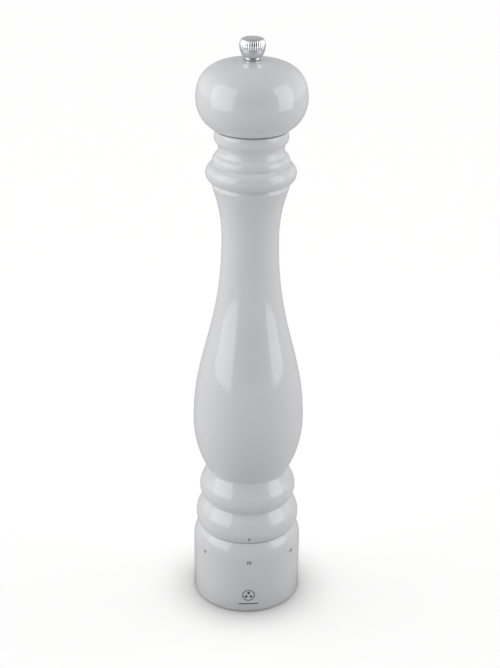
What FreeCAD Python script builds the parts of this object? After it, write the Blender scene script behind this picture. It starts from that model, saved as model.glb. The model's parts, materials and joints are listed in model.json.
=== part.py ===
import FreeCAD, Part
import math
import os
import re
import Sketcher

# A tall turned pepper mill. The origin is the centre of the foot, +Z runs up the axis and -Y is the front,
# where the pointer and the numeral III meet. All lengths are millimetres.
DIMENSIONS = {
    # selector ring, the lowest turned piece
    "ring_radius": 38.0, "ring_foot_radius": 36.6, "ring_foot_rise": 2.0, "ring_shoulder_height": 42.5,
    "ring_top_radius": 33.9, "ring_top": 55.0, "ring_bore": 30.4, "ring_web_bore": 29.2,
    "ring_web_height": 48.0, "ring_recess_radius": 34.4, "ring_recess_top": 3.0,
    # column: lower bead, upper bead, belly, neck, flare, collar, small bead, cove and top band
    "column_bottom": 55.5, "column_foot_radius": 34.0,
    "low_bead_radius": 36.25, "low_bead_height": 62.3, "low_bead_flank_radius": 33.3,
    "low_bead_flank_height": 72.0, "bead_groove_radius": 30.4, "bead_groove_height": 76.8,
    "high_bead_radius": 33.65, "high_bead_height": 84.8, "high_bead_flank_radius": 31.6,
    "high_bead_flank_height": 92.0, "belly_foot_radius": 28.2, "belly_foot_height": 100.2,
    "belly_radius": 37.9, "belly_height": 138.0, "belly_fullness": 49.0,
    "neck_radius": 18.8, "neck_height": 270.0, "neck_fullness": 65.0,
    "flare_radius": 25.2, "flare_height": 305.8, "lip_arc": 1.4,
    "lip_groove_radius": 24.3, "lip_groove_height": 308.2,
    "collar_radius": 29.3, "collar_height": 314.6, "collar_groove_radius": 24.3,
    "collar_groove_height": 320.9, "small_bead_radius": 24.9, "small_bead_height": 322.7,
    "cove_foot_radius": 22.2, "cove_foot_height": 327.0, "cove_radius": 21.2, "cove_height": 331.0,
    "band_foot_radius": 22.6, "band_foot_height": 334.6, "band_radius": 23.8, "band_low_height": 337.0,
    "band_high_height": 340.6, "column_top_radius": 23.2, "column_top": 342.3,
    "hopper_radius": 13.0, "socket_radius": 22.0, "socket_top": 92.0, "flange_seat_radius": 29.4,
    "flange_seat_top": 58.4, "mouth_radius": 15.05, "mouth_bottom": 331.0,
    # neck bush in the mouth of the column
    "neck_bush_radius": 15.0, "neck_bush_bottom": 331.1, "neck_bush_top": 342.2,
    # head and its metalwork
    "head_bottom": 342.9, "head_foot_radius": 23.3, "head_radius": 35.35, "head_height": 362.5,
    "head_top": 386.4, "dome_rise": 20.2, "dome_reach": 14.2, "spigot_radius": 12.7,
    "spigot_bottom": 333.0, "head_bore": 5.0, "plate_seat_radius": 10.1, "plate_seat_top": 336.0,
    "plate_radius": 10.0, "plate_thick": 2.4, "plate_hole": 6.3, "plate_screw_circle": 7.2,
    "head_bush_radius": 5.4, "head_bush_bore": 4.5, "head_bush_bottom": 381.4,
    # chrome knob, its collar and its threaded insert
    "collar_ring_radius": 5.4, "collar_ring_bore": 2.75, "collar_ring_bottom": 386.5,
    "collar_ring_thick": 1.8, "knob_bottom": 388.4, "knob_foot_radius": 6.1, "knob_radius": 8.15,
    "knob_height": 395.6, "knob_rim_radius": 7.1, "knob_rim_height": 399.1, "knob_rim_arc": 1.5,
    "knob_top_radius": 5.9, "knob_top": 400.0, "insert_radius": 4.0, "insert_top": 397.4,
    "insert_bore": 2.5, "thread_bottom": 390.8, "insert_mouth_bore": 2.9, "insert_bore_top": 396.6,
    "flute_radius": 0.6, "flute_circle": 8.35, "flute_bottom": 393.5, "flute_length": 5.8,
    # square shaft with its clips, spring and washer
    "shaft_width": 6.0, "shaft_bottom": 12.0, "shaft_shoulder": 386.0, "shaft_top": 394.8,
    "shaft_thread_radius": 2.42, "clip_radius": 6.6, "clip_groove_radius": 3.6, "clip_bore": 3.65,
    "clip_thick": 0.8, "upper_clip_bottom": 66.5, "lower_clip_bottom": 58.6,
    "washer_radius": 6.9, "shaft_clear_radius": 4.35, "washer_thick": 1.0, "washer_bottom": 57.5,
    "spring_radius": 5.6, "spring_wire": 0.5, "spring_bottom": 46.7, "spring_pitch": 2.4,
    "spring_length": 10.2,
    # burrs
    "outer_burr_radius": 21.7, "burr_bottom": 24.2, "burr_throat": 36.0, "burr_top": 44.0,
    "outer_burr_mouth": 18.0, "outer_burr_throat": 13.0, "outer_burr_entry": 17.0,
    "inner_burr_foot": 17.6, "inner_burr_throat": 12.6, "inner_burr_crown": 9.0,
    "inner_burr_top": 46.0, "inner_burr_bottom": 20.25, "inner_burr_rim": 24.2, "inner_burr_boss": 7.5,
    "burr_bore_width": 6.25, "tooth_size": 1.25, "feed_flute_radius": 3.4,
    "feed_flute_length": 12.0, "tooth_overrun": 2.0,
    # fixed mechanism housing
    "housing_flange_radius": 29.0, "housing_flange_top": 58.3, "tail_radius": 24.0,
    "tail_bore": 21.8, "tail_bottom": 9.0, "sleeve_radius": 21.8, "sleeve_top": 80.0,
    "feed_radius": 16.8, "bridge_seat": 60.0, "sleeve_bore": 19.5, "slot_width": 6.6,
    "slot_top": 21.8, "ring_clip_groove": 23.2, "ring_clip_groove_bottom": 28.8,
    "ring_clip_groove_wide": 1.3, "burr_clip_groove": 22.8, "burr_clip_groove_bottom": 22.7,
    "burr_clip_groove_wide": 1.3, "screw_circle": 25.6,
    "ring_clip_radius": 26.4, "ring_clip_bore": 23.3, "ring_clip_bottom": 28.95, "ring_clip_thick": 1.0,
    "burr_clip_radius": 22.7, "burr_clip_bore": 20.2, "burr_clip_bottom": 22.85, "burr_clip_thick": 1.0,
    # upper bridge that guides the shaft
    "bridge_rim_radius": 19.4, "bridge_rim_bore": 16.8, "bridge_rim_thick": 2.4,
    "bridge_hub_radius": 7.6, "bridge_hub_thick": 6.0, "bridge_bush_radius": 5.5,
    "bridge_spoke_width": 3.6, "bridge_bush_bottom": 59.7, "bridge_bush_top": 66.2,
    "bush_bore": 4.32, "bridge_screw_circle": 18.1,
    # adjusting nut inside the ring and the burr carriage it raises
    "nut_radius": 30.2, "nut_web_radius": 29.0, "nut_shoulder": 47.8, "nut_top": 55.0,
    "nut_journal": 24.1, "nut_shelf": 30.3, "nut_sleeve_bore": 27.4, "nut_flange_radius": 34.2,
    "nut_flange_top": 2.8, "nut_bottom": 0.8, "nut_mouth_radius": 29.4, "nut_mouth_top": 4.2,
    "nut_screw_circle": 32.2, "dimple_radius": 1.4, "dimple_rise": 0.9, "detent_circle": 26.3,
    "carriage_radius": 27.32, "carriage_bore": 25.5, "carriage_bottom": 12.0, "carriage_rim_top": 20.0,
    "carriage_spoke_thick": 6.0, "carriage_spoke_width": 5.8, "carriage_hub_radius": 8.4,
    "carriage_hub_top": 19.0, "carriage_bush_radius": 6.2, "thrust_washer_radius": 7.6,
    "thrust_washer_thick": 1.0,
    # detent of the selector
    "ball_radius": 1.5, "ball_height": 56.65, "pocket_radius": 1.6, "pocket_top": 63.0,
    "pocket_boss_radius": 3.0, "detent_coil_radius": 1.05, "detent_wire": 0.22,
    "detent_coil_bottom": 58.5, "detent_coil_length": 4.2, "detent_coil_pitch": 0.9,
    # wood screws
    "large_screw_head": 2.9, "large_screw_sink": 1.7, "large_screw_shank": 1.5, "large_screw_length": 14.0,
    "small_screw_head": 1.9, "small_screw_sink": 1.1, "small_screw_shank": 1.0, "small_screw_length": 9.0,
    "plate_screw_head": 1.9, "plate_screw_sink": 1.1, "plate_screw_shank": 1.0, "plate_screw_length": 10.0,
    "bridge_screw_head": 1.2, "bridge_screw_sink": 0.7, "bridge_screw_shank": 0.7,
    "bridge_screw_length": 7.0,
    # printed marks, a thin film on the lacquer
    "film": 0.06, "numeral_height": 42.0, "numeral_tall": 2.4, "stroke": 0.55, "stroke_pitch": 1.15,
    "pointer_low": 58.4, "pointer_high": 61.4, "pointer_angle": 1.1,
    "stamp_depth": 6.0, "leg_spread": 0.42,
    "emblem_height": 14.6, "emblem_ring_radius": 4.5, "emblem_ring_line": 0.6, "emblem_dot": 1.0,
    "emblem_dot_circle": 2.0, "emblem_bar_width": 14.0, "emblem_bar_tall": 0.8, "emblem_bar_drop": 7.6,
}
# the selector clicks into six settings, and the pointer stands over the third at rest
SETTINGS = ("I", "II", "III", "IV", "V", "VI")
SETTING_STEP = 53.0
FRONT = -90.0
FRONT_SETTING = 2
SCREW_ANGLES = (30.0, 150.0, 270.0)
BACK = 90.0

vector = FreeCAD.Vector
doc = FreeCAD.newDocument("pepper_mill")
sheet = doc.addObject("Spreadsheet::Sheet", "Dim")
for row, (alias, number) in enumerate(DIMENSIONS.items(), 1):
    sheet.set("A%d" % row, alias)
    sheet.set("B%d" % row, str(number))
    sheet.setAlias("B%d" % row, alias)
doc.recompute()
nodes = {}


def linked(text):
    """The same formula with each dimension's name pointing at the sheet."""
    return re.sub(r"[a-z][a-z_]+\b(?!\()", lambda found: "Dim." + found.group(0), text)


def size(text):
    """The number a formula of dimensions gives now."""
    return float(sheet.evalExpression(linked(text)))


def bind(item, **formulas):
    for name, text in formulas.items():
        item.setExpression(name, linked(text))
    return item


def place(item, x="0", y="0", z="0", turn=0.0, tilt=None):
    """Put an object at (x, y, z), then turn the whole lot about the axis of the mill."""
    cos_turn = math.cos(math.radians(turn))
    sin_turn = math.sin(math.radians(turn))
    spin = FreeCAD.Rotation(vector(0, 0, 1), turn)
    item.Placement = FreeCAD.Placement(vector(), spin * tilt if tilt else spin)
    item.setExpression(".Placement.Base.x", linked(f"({x}) * {cos_turn:.9f} - ({y}) * {sin_turn:.9f}"))
    item.setExpression(".Placement.Base.y", linked(f"({x}) * {sin_turn:.9f} + ({y}) * {cos_turn:.9f}"))
    item.setExpression(".Placement.Base.z", linked(z))
    return item


def node(name, item):
    """Name a finished sub-part."""
    item.Label = name
    nodes[name] = item
    return item


# ---------------------------------------------------------------- sketches and turned pieces
def origin_plane(body, role):
    return next(item for item in body.Origin.OriginFeatures if item.Role == role)


def sketch_on(body, role):
    sketch = body.newObject("Sketcher::SketchObject", body.Name + "_outline")
    sketch.AttachmentSupport = [(origin_plane(body, role), "")]
    sketch.MapMode = "FlatFace"
    return sketch


def fix_point(sketch, edge, end, across, up):
    """Tie a sketch point to the sheet, or to an axis where its distance is zero."""
    for kind, text, axis in (("DistanceX", across, -2), ("DistanceY", up, -1)):
        if abs(size(text)) < 1e-9:
            sketch.addConstraint(Sketcher.Constraint("PointOnObject", edge, end, axis))
            continue
        index = sketch.addConstraint(Sketcher.Constraint(kind, -1, 1, edge, end, size(text)))
        sketch.setExpression("Constraints[%d]" % index, linked(text))


def arc_between(start, end, centre):
    """The short arc between two points, and which of its ends each point is."""
    first = math.atan2(start.y - centre.y, start.x - centre.x)
    last = math.atan2(end.y - centre.y, end.x - centre.x)
    anticlockwise = (last - first) % (2 * math.pi) < math.pi
    if not anticlockwise:
        first, last = last, first
    circle = Part.Circle(centre, vector(0, 0, 1), (start - centre).Length)
    return Part.ArcOfCircle(circle, first, last), (1, 2) if anticlockwise else (2, 1)


def level_centre(upright, other):
    """Centre of the arc that is upright at one point, level with it, and passes the other."""
    across = other.x - upright.x
    radius = (across ** 2 + (other.y - upright.y) ** 2) / (2 * abs(across))
    return vector(upright.x + math.copysign(radius, across), upright.y, 0)


def radius_centre(start, end, radius):
    """Centre to the left of the chord for a positive radius, to the right for a negative one."""
    chord = end - start
    reach = math.sqrt(radius ** 2 - chord.Length ** 2 / 4)
    left = vector(-chord.y, chord.x, 0).normalize()
    return (start + end) * 0.5 + left * math.copysign(reach, radius)


def add_curve(sketch, poles, texts):
    """A cubic curve whose four control points are tied to the sheet."""
    curve = Part.BSplineCurve()
    curve.buildFromPolesMultsKnots(poles, [4, 4], [0, 1], False, 3)
    edge = sketch.addGeometry(curve, False)
    weights = []
    for index, pole in enumerate(poles):
        circle = sketch.addGeometry(Part.Circle(pole, vector(0, 0, 1), 1.0), True)
        align = "InternalAlignment:Sketcher::BSplineControlPoint"
        sketch.addConstraint(Sketcher.Constraint(align, circle, 3, edge, index))
        weights.append(circle)
        if index in (1, 2):
            fix_point(sketch, circle, 3, *texts[index - 1])
    sketch.addConstraint(Sketcher.Constraint("Weight", weights[0], 1.0))
    for circle in weights[1:]:
        sketch.addConstraint(Sketcher.Constraint("Equal", weights[0], circle))
    return edge


def draw_outline(sketch, corners):
    """Draw a closed outline. Each corner is (across, up, kind, more) and kind says how it is reached:
    line, rise (an arc upright at its start), fall (an arc upright at its end), arc (a radius) or
    curve (two control points)."""
    points = [vector(size(corner[0]), size(corner[1]), 0) for corner in corners]
    edges = []
    for index, corner in enumerate(corners):
        start, end = points[index - 1], points[index]
        kind = corner[2] if len(corner) > 2 else "line"
        ends = (1, 2)
        if kind == "line":
            edge = sketch.addGeometry(Part.LineSegment(start, end), False)
        elif kind == "curve":
            handles = [vector(size(across), size(up), 0) for across, up in corner[3]]
            edge = add_curve(sketch, [start] + handles + [end], corner[3])
        else:
            if kind == "arc":
                centre = radius_centre(start, end, size(corner[3]))
            elif kind == "rise":
                centre = level_centre(start, end)
            else:
                centre = level_centre(end, start)
            shape, ends = arc_between(start, end, centre)
            edge = sketch.addGeometry(shape, False)
            if kind == "arc":
                limit = Sketcher.Constraint("Radius", edge, abs(size(corner[3])))
                sketch.setExpression("Constraints[%d]" % sketch.addConstraint(limit),
                                     "abs(%s)" % linked(corner[3]))
            else:
                upright = ends[0] if kind == "rise" else ends[1]
                sketch.addConstraint(Sketcher.Constraint("Horizontal", edge, 3, edge, upright))
        edges.append((edge, ends))
    for index, (edge, ends) in enumerate(edges):
        after, after_ends = edges[(index + 1) % len(edges)]
        sketch.addConstraint(Sketcher.Constraint("Coincident", edge, ends[1], after, after_ends[0]))
        fix_point(sketch, edge, ends[1], corners[index][0], corners[index][1])


def turned(name, corners, angle=360.0):
    """A body turned about the axis of the mill from an outline of radii and heights."""
    body = doc.addObject("PartDesign::Body", name)
    sketch = sketch_on(body, "XZ_Plane")
    draw_outline(sketch, corners)
    feature = body.newObject("PartDesign::Revolution", name + "_turning")
    feature.Profile = sketch
    feature.ReferenceAxis = (sketch, ["V_Axis"])
    feature.Angle = angle
    feature.Midplane = angle < 360.0
    return body


def ring_outline(bore, radius, bottom, top):
    return [(bore, bottom), (radius, bottom), (radius, top), (bore, top)]


# ---------------------------------------------------------------- primitives
def cylinder(name, radius, length, x="0", y="0", z="0", turn=0.0, tilt=None):
    item = bind(doc.addObject("Part::Cylinder", name), Radius=radius, Height=length)
    return place(item, x, y, z, turn, tilt)


def block(name, long, wide, tall, x="0", y="0", z="0", turn=0.0):
    """A box centred on x and y, standing on z."""
    item = bind(doc.addObject("Part::Box", name), Length=long, Width=wide, Height=tall)
    return place(item, f"({x}) - ({long}) / 2", f"({y}) - ({wide}) / 2", z, turn)


def fused(name, items):
    item = doc.addObject("Part::MultiFuse", name)
    item.Shapes = items
    return item


def cut(name, base, tool):
    item = doc.addObject("Part::Cut", name)
    item.Base = base
    item.Tool = tool
    return item


def common(name, first, second):
    item = doc.addObject("Part::Common", name)
    item.Base = first
    item.Tool = second
    return item


def group(name, items):
    item = doc.addObject("Part::Compound", name)
    item.Links = items
    return item


def screw_set(name, kind, circle, start, upward, angles):
    """Countersunk screws on a circle. Each head starts at the given height and points up or down."""
    way = 1 if upward else -1
    tilt = None if upward else FreeCAD.Rotation(vector(1, 0, 0), 180)
    screws = []
    for index, angle in enumerate(angles):
        head = doc.addObject("Part::Cone", f"{name}_head_{index}")
        bind(head, Radius1=kind + "_head", Radius2=kind + "_shank", Height=kind + "_sink")
        place(head, circle, "0", start, angle, tilt)
        shank_start = f"{start} + {way} * ({kind}_sink)"
        shank_length = f"{kind}_length - {kind}_sink"
        shank = cylinder(f"{name}_shank_{index}", kind + "_shank", shank_length,
                         circle, "0", shank_start, angle, tilt)
        screws.append(fused(f"{name}_{index}", [head, shank]))
    return group(name, screws)


def screw_holes(name, kind, circle, start, upward, angles):
    """The countersunk holes of the same screws, one tool to cut with."""
    return screw_set(name + "_holes", kind, circle, start, upward, angles)


def coil(name, radius, wire, pitch, length, x, y, bottom):
    """A round-wire spring swept along a helix."""
    helix = bind(doc.addObject("Part::Helix", name + "_helix"), Radius=radius, Pitch=pitch, Height=length)
    helix.SegmentLength = 1
    section = bind(doc.addObject("Part::Circle", name + "_section"), Radius=wire)
    place(section, radius, "0", "0", 0.0, FreeCAD.Rotation(vector(1, 0, 0), 90))
    sweep = doc.addObject("Part::Sweep", name)
    sweep.Sections = [section]
    doc.recompute()
    sweep.Spine = (helix, ["Edge%d" % (index + 1) for index in range(len(helix.Shape.Edges))])
    sweep.Solid = True
    sweep.Frenet = True
    return place(sweep, x, y, bottom)


# ---------------------------------------------------------------- column and neck bush
column_blank = turned("column_blank", [
    ("flange_seat_radius", "column_bottom"),
    ("column_foot_radius", "column_bottom"),
    ("low_bead_radius", "low_bead_height", "fall"),
    ("low_bead_flank_radius", "low_bead_flank_height", "rise"),
    ("bead_groove_radius", "bead_groove_height"),
    ("high_bead_radius", "high_bead_height", "fall"),
    ("high_bead_flank_radius", "high_bead_flank_height", "rise"),
    ("belly_foot_radius", "belly_foot_height"),
    ("belly_radius", "belly_height", "fall"),
    ("neck_radius", "neck_height", "curve",
     [("belly_radius", "belly_height + belly_fullness"), ("neck_radius", "neck_height - neck_fullness")]),
    ("flare_radius", "flare_height", "rise"),
    ("lip_groove_radius", "lip_groove_height", "arc", "lip_arc"),
    ("collar_radius", "collar_height", "fall"),
    ("collar_groove_radius", "collar_groove_height", "rise"),
    ("small_bead_radius", "small_bead_height", "fall"),
    ("cove_foot_radius", "cove_foot_height", "rise"),
    ("cove_radius", "cove_height", "fall"),
    ("band_foot_radius", "band_foot_height", "rise"),
    ("band_radius", "band_low_height", "fall"),
    ("band_radius", "band_high_height"),
    ("column_top_radius", "column_top", "rise"),
    ("mouth_radius", "column_top"),
    ("mouth_radius", "mouth_bottom"),
    ("hopper_radius", "mouth_bottom"),
    ("hopper_radius", "socket_top"),
    ("socket_radius", "socket_top"),
    ("socket_radius", "flange_seat_top"),
    ("flange_seat_radius", "flange_seat_top"),
])
pocket_hole = cylinder("column_pocket", "pocket_boss_radius + 0.2", "pocket_top + 1.2 - flange_seat_top + 1",
                       "detent_circle", "0", "flange_seat_top - 1", BACK)
column_holes = screw_holes("column_screw", "large_screw", "screw_circle", "column_bottom", True,
                           SCREW_ANGLES)
node("column", cut("column", column_blank, fused("column_cuts", [pocket_hole, column_holes])))
node("neck_bush", turned("neck_bush", ring_outline("hopper_radius", "neck_bush_radius", "neck_bush_bottom",
                                                   "neck_bush_top")))

# ---------------------------------------------------------------- mechanism housing, fixed in the column
housing_blank = turned("housing_blank", [
    ("tail_bore", "tail_bottom"),
    ("tail_radius", "tail_bottom"),
    ("tail_radius", "ring_clip_groove_bottom"),
    ("ring_clip_groove", "ring_clip_groove_bottom"),
    ("ring_clip_groove", "ring_clip_groove_bottom + ring_clip_groove_wide"),
    ("tail_radius", "ring_clip_groove_bottom + ring_clip_groove_wide"),
    ("tail_radius", "column_bottom"),
    ("housing_flange_radius", "column_bottom"),
    ("housing_flange_radius", "housing_flange_top"),
    ("sleeve_radius", "housing_flange_top"),
    ("sleeve_radius", "sleeve_top"),
    ("sleeve_bore", "sleeve_top"),
    ("sleeve_bore", "bridge_seat"),
    ("feed_radius", "bridge_seat"),
    ("feed_radius", "burr_top"),
    ("tail_bore", "burr_top"),
    ("tail_bore", "burr_clip_groove_bottom + burr_clip_groove_wide"),
    ("burr_clip_groove", "burr_clip_groove_bottom + burr_clip_groove_wide"),
    ("burr_clip_groove", "burr_clip_groove_bottom"),
    ("tail_bore", "burr_clip_groove_bottom"),
])
pocket_boss = cylinder("pocket_boss", "pocket_boss_radius", "pocket_top + 1 - column_bottom",
                       "detent_circle", "0", "column_bottom", BACK)
pocket_bore = cylinder("pocket_bore", "pocket_radius", "pocket_top - column_bottom + 1",
                       "detent_circle", "0", "column_bottom - 1", BACK)
tail_slots = [block(f"tail_slot_{index}", "tail_radius - carriage_hub_radius + 4", "slot_width",
                    "slot_top - tail_bottom + 1", "(tail_radius + carriage_hub_radius) / 2 + 2", "0",
                    "tail_bottom - 1", angle)
              for index, angle in enumerate(SCREW_ANGLES)]
housing_holes = screw_holes("housing_screw", "large_screw", "screw_circle", "column_bottom", True,
                            SCREW_ANGLES)
bridge_holes = screw_holes("housing_bridge_screw", "bridge_screw", "bridge_screw_circle",
                           "bridge_seat + bridge_rim_thick", False, SCREW_ANGLES)
housing_cuts = fused("housing_cuts", [pocket_bore, housing_holes, bridge_holes] + tail_slots)
node("mechanism_housing", cut("mechanism_housing", fused("housing_body", [housing_blank, pocket_boss]),
                              housing_cuts))
node("housing_screws", screw_set("housing_screws", "large_screw", "screw_circle", "column_bottom", True,
                                 SCREW_ANGLES))
node("ring_clip", turned("ring_clip", ring_outline("ring_clip_bore", "ring_clip_radius", "ring_clip_bottom",
                                                   "ring_clip_bottom + ring_clip_thick")))
node("burr_clip", turned("burr_clip", ring_outline("burr_clip_bore", "burr_clip_radius", "burr_clip_bottom",
                                                   "burr_clip_bottom + burr_clip_thick")))

# ---------------------------------------------------------------- upper bridge that guides the shaft
bridge_rim = turned("bridge_rim", ring_outline("bridge_rim_bore", "bridge_rim_radius", "bridge_seat",
                                               "bridge_seat + bridge_rim_thick"))
bridge_hub = turned("bridge_hub", ring_outline("bridge_bush_radius", "bridge_hub_radius", "bridge_seat",
                                               "bridge_seat + bridge_hub_thick"))
bridge_spokes = [block(f"bridge_spoke_{index}", "bridge_rim_bore - bridge_hub_radius + 2",
                       "bridge_spoke_width", "bridge_rim_thick", "(bridge_rim_bore + bridge_hub_radius) / 2",
                       "0", "bridge_seat", angle)
                 for index, angle in enumerate(SCREW_ANGLES)]
bridge_body = fused("bridge_body", [bridge_rim, bridge_hub] + bridge_spokes)
node("upper_bridge", cut("upper_bridge", bridge_body,
                         screw_holes("bridge_screw", "bridge_screw", "bridge_screw_circle",
                                     "bridge_seat + bridge_rim_thick", False, SCREW_ANGLES)))
node("bridge_screws", screw_set("bridge_screws", "bridge_screw", "bridge_screw_circle",
                                "bridge_seat + bridge_rim_thick", False, SCREW_ANGLES))
node("bridge_bush", turned("bridge_bush", ring_outline("bush_bore", "bridge_bush_radius",
                                                       "bridge_bush_bottom", "bridge_bush_top")))

# ---------------------------------------------------------------- burrs
def tooth_cutters(name, count, foot, foot_height, crest, crest_height, skew):
    """Three-sided bars laid along a cone, to cut its teeth. The skew turns the far end about the axis."""
    low = vector(size(foot), 0, size(foot_height))
    far_turn = FreeCAD.Rotation(vector(0, 0, 1), skew)
    high = far_turn.multVec(vector(size(crest), 0, size(crest_height)))
    along = (high - low).normalize()
    start = low - along * size("tooth_overrun")
    lean = FreeCAD.Rotation(vector(0, 0, 1), along)
    bars = []
    for index in range(count):
        bar = doc.addObject("Part::Prism", f"{name}_{index}")
        bar.Polygon = 3
        bind(bar, Circumradius="tooth_size")
        bar.Height = (high - low).Length + 2 * size("tooth_overrun")
        turn = FreeCAD.Rotation(vector(0, 0, 1), index * 360.0 / count)
        bar.Placement = FreeCAD.Placement(turn.multVec(start), turn * lean)
        bars.append(bar)
    return bars


outer_blank = turned("outer_burr_blank", [
    ("outer_burr_mouth", "burr_bottom"),
    ("outer_burr_radius", "burr_bottom"),
    ("outer_burr_radius", "burr_top - 0.05"),
    ("outer_burr_entry", "burr_top - 0.05"),
    ("outer_burr_throat", "burr_throat"),
])
outer_teeth = (tooth_cutters("outer_tooth", 20, "outer_burr_mouth", "burr_bottom", "outer_burr_throat",
                             "burr_throat", 14.0)
               + tooth_cutters("outer_feed", 10, "outer_burr_throat", "burr_throat", "outer_burr_entry",
                               "burr_top", 12.0))
node("outer_burr", cut("outer_burr", outer_blank, fused("outer_burr_cuts", outer_teeth)))

inner_blank = turned("inner_burr_blank", [
    ("0", "inner_burr_bottom"),
    ("inner_burr_boss", "inner_burr_bottom"),
    ("inner_burr_boss", "inner_burr_rim - 1"),
    ("inner_burr_foot", "inner_burr_rim - 1"),
    ("inner_burr_foot", "inner_burr_rim"),
    ("inner_burr_throat", "burr_throat"),
    ("inner_burr_crown", "inner_burr_top"),
    ("0", "inner_burr_top"),
])
inner_bore = block("inner_burr_bore", "burr_bore_width", "burr_bore_width",
                   "inner_burr_top - inner_burr_bottom + 2", "0", "0", "inner_burr_bottom - 1")
inner_teeth = tooth_cutters("inner_tooth", 20, "inner_burr_foot", "inner_burr_rim", "inner_burr_throat",
                            "burr_throat", -14.0)
feed_flutes = [cylinder(f"feed_flute_{index}", "feed_flute_radius", "feed_flute_length",
                        "inner_burr_throat + 1.6", "0", "burr_throat - 2", index * 90.0,
                        FreeCAD.Rotation(vector(1, 0, 0), 32) * FreeCAD.Rotation(vector(0, 1, 0), -18))
               for index in range(4)]
node("inner_burr", cut("inner_burr", inner_blank,
                       fused("inner_burr_cuts", [inner_bore] + inner_teeth + feed_flutes)))

# ---------------------------------------------------------------- square shaft and what rides on it
shaft_bar = block("shaft_bar", "shaft_width", "shaft_width", "shaft_shoulder - shaft_bottom", "0", "0",
                  "shaft_bottom")
shaft_thread = cylinder("shaft_thread", "shaft_thread_radius", "shaft_top - shaft_shoulder + 1", "0", "0",
                        "shaft_shoulder - 1")
clip_grooves = [turned(f"clip_groove_{index}",
                       ring_outline("clip_groove_radius", "clip_radius", bottom + " - 0.05",
                                    bottom + " + clip_thick + 0.05"))
                for index, bottom in enumerate(("upper_clip_bottom", "lower_clip_bottom"))]
node("drive_shaft", cut("drive_shaft", fused("shaft_body", [shaft_bar, shaft_thread]),
                        fused("shaft_grooves", clip_grooves)))
shaft_clips = [turned(f"shaft_clip_{index}", ring_outline("clip_bore", "clip_radius", bottom,
                                                          bottom + " + clip_thick"))
               for index, bottom in enumerate(("upper_clip_bottom", "lower_clip_bottom"))]
node("shaft_clips", group("shaft_clips", shaft_clips))
node("spring_washer", turned("spring_washer", ring_outline("shaft_clear_radius", "washer_radius",
                                                           "washer_bottom", "washer_bottom + washer_thick")))
node("burr_spring", coil("burr_spring", "spring_radius", "spring_wire", "spring_pitch", "spring_length",
                         "0", "0", "spring_bottom"))

# ---------------------------------------------------------------- selector ring and adjusting nut
selector_blank = turned("selector_blank", [
    ("ring_recess_radius", "0"),
    ("ring_foot_radius", "0"),
    ("ring_radius", "ring_foot_rise", "fall"),
    ("ring_radius", "ring_shoulder_height"),
    ("ring_top_radius", "ring_top", "rise"),
    ("ring_web_bore", "ring_top"),
    ("ring_web_bore", "ring_web_height"),
    ("ring_bore", "ring_web_height"),
    ("ring_bore", "ring_recess_top"),
    ("ring_recess_radius", "ring_recess_top"),
])
node("selector_ring", cut("selector_ring", selector_blank,
                          screw_holes("selector_screw", "small_screw", "nut_screw_circle", "nut_bottom",
                                      True, SCREW_ANGLES)))
nut_blank = turned("nut_blank", [
    ("nut_mouth_radius", "nut_bottom"),
    ("nut_flange_radius", "nut_bottom"),
    ("nut_flange_radius", "nut_flange_top"),
    ("nut_radius", "nut_flange_top"),
    ("nut_radius", "nut_shoulder"),
    ("nut_web_radius", "nut_shoulder"),
    ("nut_web_radius", "nut_top"),
    ("nut_journal", "nut_top"),
    ("nut_journal", "nut_shelf"),
    ("nut_sleeve_bore", "nut_shelf"),
    ("nut_sleeve_bore", "nut_mouth_top"),
])
dimples = []
for index in range(len(SETTINGS)):
    dimple = bind(doc.addObject("Part::Sphere", f"dimple_{index}"), Radius="dimple_radius")
    dimples.append(place(dimple, "detent_circle", "0", "nut_top + dimple_rise",
                         BACK + (index - FRONT_SETTING) * SETTING_STEP))
nut_holes = screw_holes("nut_screw", "small_screw", "nut_screw_circle", "nut_bottom", True, SCREW_ANGLES)
node("adjusting_nut", cut("adjusting_nut", nut_blank, fused("nut_cuts", dimples + [nut_holes])))
node("nut_screws", screw_set("nut_screws", "small_screw", "nut_screw_circle", "nut_bottom", True,
                             SCREW_ANGLES))

# ---------------------------------------------------------------- burr carriage under the inner burr
carriage_rim = turned("carriage_rim", ring_outline("carriage_bore", "carriage_radius", "carriage_bottom",
                                                   "carriage_rim_top"))
carriage_hub = turned("carriage_hub", ring_outline("carriage_bush_radius", "carriage_hub_radius",
                                                   "carriage_bottom", "carriage_hub_top"))
carriage_spokes = [block(f"carriage_spoke_{index}", "carriage_bore - carriage_hub_radius + 1.6",
                         "carriage_spoke_width", "carriage_spoke_thick",
                         "(carriage_bore + carriage_hub_radius) / 2", "0", "carriage_bottom", angle)
                   for index, angle in enumerate(SCREW_ANGLES)]
node("burr_carriage", fused("burr_carriage", [carriage_rim, carriage_hub] + carriage_spokes))
node("carriage_bush", turned("carriage_bush", ring_outline("bush_bore", "carriage_bush_radius",
                                                           "carriage_bottom", "carriage_hub_top")))
node("thrust_washer", turned("thrust_washer", ring_outline("shaft_clear_radius", "thrust_washer_radius",
                                                           "carriage_hub_top",
                                                           "carriage_hub_top + thrust_washer_thick")))

# ---------------------------------------------------------------- detent between housing and nut
detent_ball = bind(doc.addObject("Part::Sphere", "detent_ball"), Radius="ball_radius")
node("detent_ball", place(detent_ball, "detent_circle", "0", "ball_height", BACK))
node("detent_spring", coil("detent_spring", "detent_coil_radius", "detent_wire", "detent_coil_pitch",
                           "detent_coil_length", "0", "detent_circle", "detent_coil_bottom"))

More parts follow.
